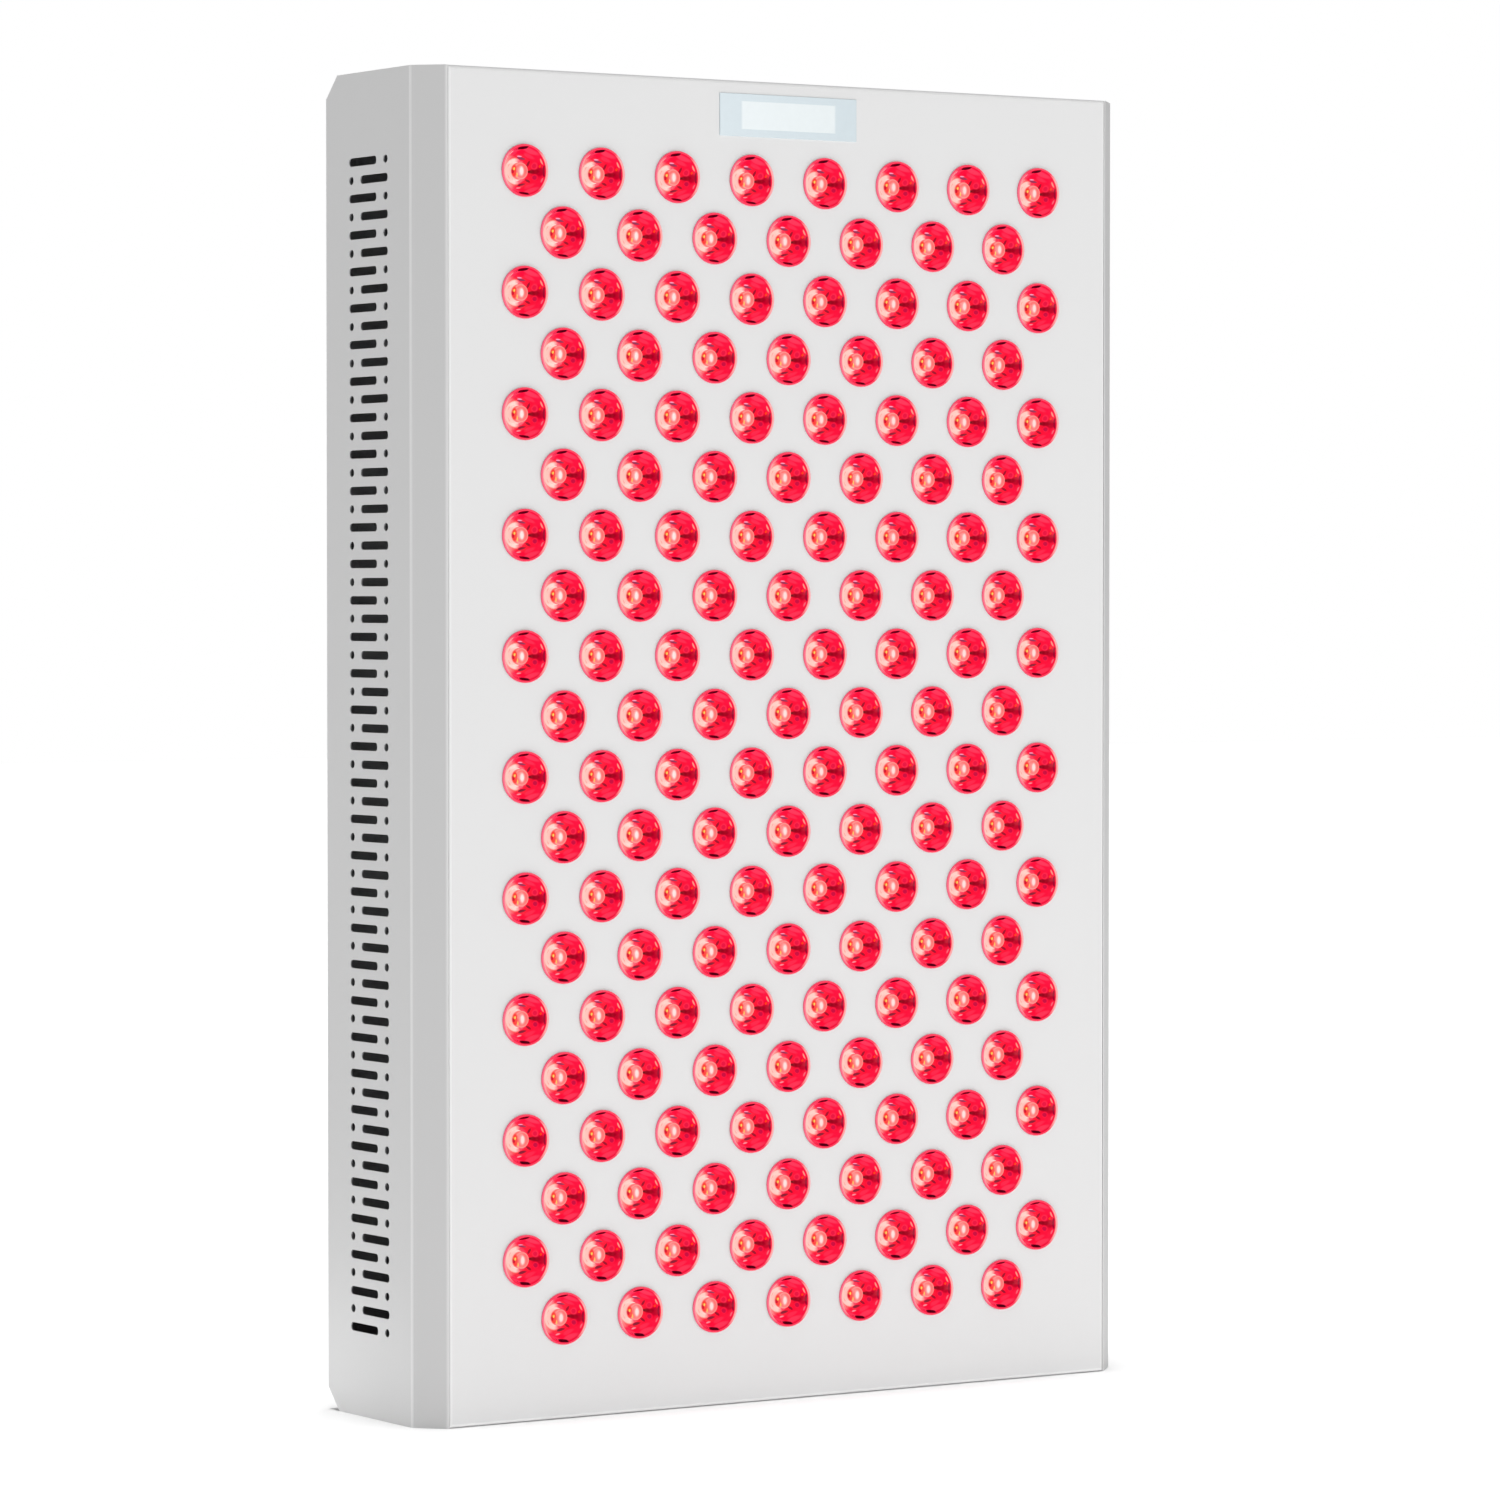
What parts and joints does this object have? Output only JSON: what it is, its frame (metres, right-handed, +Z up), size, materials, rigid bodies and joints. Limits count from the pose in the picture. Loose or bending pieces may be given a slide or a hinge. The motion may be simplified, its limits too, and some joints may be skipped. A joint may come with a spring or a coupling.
{
  "type": "red light therapy panel",
  "caption": "Upright panel with rows of lensed red lamps on a white sheet-metal box, vented sides, a small display, rear fans, a mains inlet and a rocker switch.",
  "frame": {"origin": "middle of the flat underside that the panel stands on, half way between the flat front and the flat back", "axes": "+Z up along the panel's height; -Y out of the lamp side; +X to the right as the lamps are faced"},
  "size_m": [0.376, 0.0922, 0.59],
  "materials": {
    "white_powder_coat": "fine satin powder coat",
    "red_lens": "clear polished lens over a lit red lamp",
    "board_white": "white solder mask on a metal core",
    "extruded_aluminium": "plain extruded",
    "zinc_plated_steel": "bright zinc plate",
    "display_glass": "clear acrylic with a pale printed back",
    "screen_module": "unlit pale screen",
    "board_green": "green solder mask",
    "black_plastic": "moulded, lightly textured",
    "chromed_wire": "bright chrome plate",
    "contact_metal": "nickel plate",
    "rocker_plastic": "polished moulding",
    "grey_sleeve": "soft PVC sleeve",
    "signal_sleeve": "soft PVC sleeve"
  },
  "bodies": {
    "housing": {"front_plate": "white_powder_coat", "left_side_panel": "white_powder_coat", "right_side_panel": "white_powder_coat", "top_end_plate": "white_powder_coat", "bottom_end_plate": "white_powder_coat", "back_cover": "white_powder_coat", "lens_strip_01": "red_lens", "lens_strip_02": "red_lens", "lens_strip_03": "red_lens", "lens_strip_04": "red_lens", "lens_strip_05": "red_lens", "lens_strip_06": "red_lens", "lens_strip_07": "red_lens", "lens_strip_08": "red_lens", "lens_strip_09": "red_lens", "lens_strip_10": "red_lens", "lamp_board_1": "board_white", "lamp_board_2": "board_white", "lamp_board_3": "board_white", "lamp_board_4": "board_white", "lamp_board_5": "board_white", "heat_sink_1": "extruded_aluminium", "heat_sink_2": "extruded_aluminium", "heat_sink_3": "extruded_aluminium", "heat_sink_4": "extruded_aluminium", "heat_sink_5": "extruded_aluminium", "left_mount_rail": "zinc_plated_steel", "right_mount_rail": "zinc_plated_steel", "display_window": "display_glass", "display_module": "screen_module", "control_board": "board_green", "fan_frame_1": "black_plastic", "fan_frame_2": "black_plastic", "fan_frame_3": "black_plastic", "fan_guard_1": "chromed_wire", "fan_guard_2": "chromed_wire", "fan_guard_3": "chromed_wire", "left_driver": "extruded_aluminium", "right_driver": "extruded_aluminium", "inlet_body": "black_plastic", "inlet_pin_live": "contact_metal", "inlet_pin_neutral": "contact_metal", "inlet_pin_earth": "contact_metal", "switch_body": "black_plastic", "cover_screw_1": "zinc_plated_steel", "cover_screw_2": "zinc_plated_steel", "cover_screw_3": "zinc_plated_steel", "cover_screw_4": "zinc_plated_steel", "cover_screw_5": "zinc_plated_steel", "cover_screw_6": "zinc_plated_steel", "inlet_lead": "grey_sleeve", "left_driver_lead": "grey_sleeve", "right_driver_lead": "grey_sleeve", "display_lead": "signal_sleeve"},
    "rotor_1": {"fan_rotor_1": "black_plastic"},
    "rotor_2": {"fan_rotor_2": "black_plastic"},
    "rotor_3": {"fan_rotor_3": "black_plastic"},
    "rocker": {"switch_rocker": "rocker_plastic"}
  },
  "joints": [
    {"name": "rotor_1_spin", "type": "hinge", "parent": "housing", "child": "rotor_1", "pos_m": [0, 0.0285, 0.11453], "axis": [0, 1, 0], "continuous": true},
    {"name": "rotor_2_spin", "type": "hinge", "parent": "housing", "child": "rotor_2", "pos_m": [0, 0.0285, 0.295], "axis": [0, 1, 0], "continuous": true},
    {"name": "rotor_3_spin", "type": "hinge", "parent": "housing", "child": "rotor_3", "pos_m": [0, 0.0285, 0.47547], "axis": [0, 1, 0], "continuous": true},
    {"name": "rocker_tilt", "type": "hinge", "parent": "housing", "child": "rocker", "pos_m": [-0.077, 0.041, 0.044], "axis": [-1, 0, 0], "range_deg": [0, 14]}
  ]
}
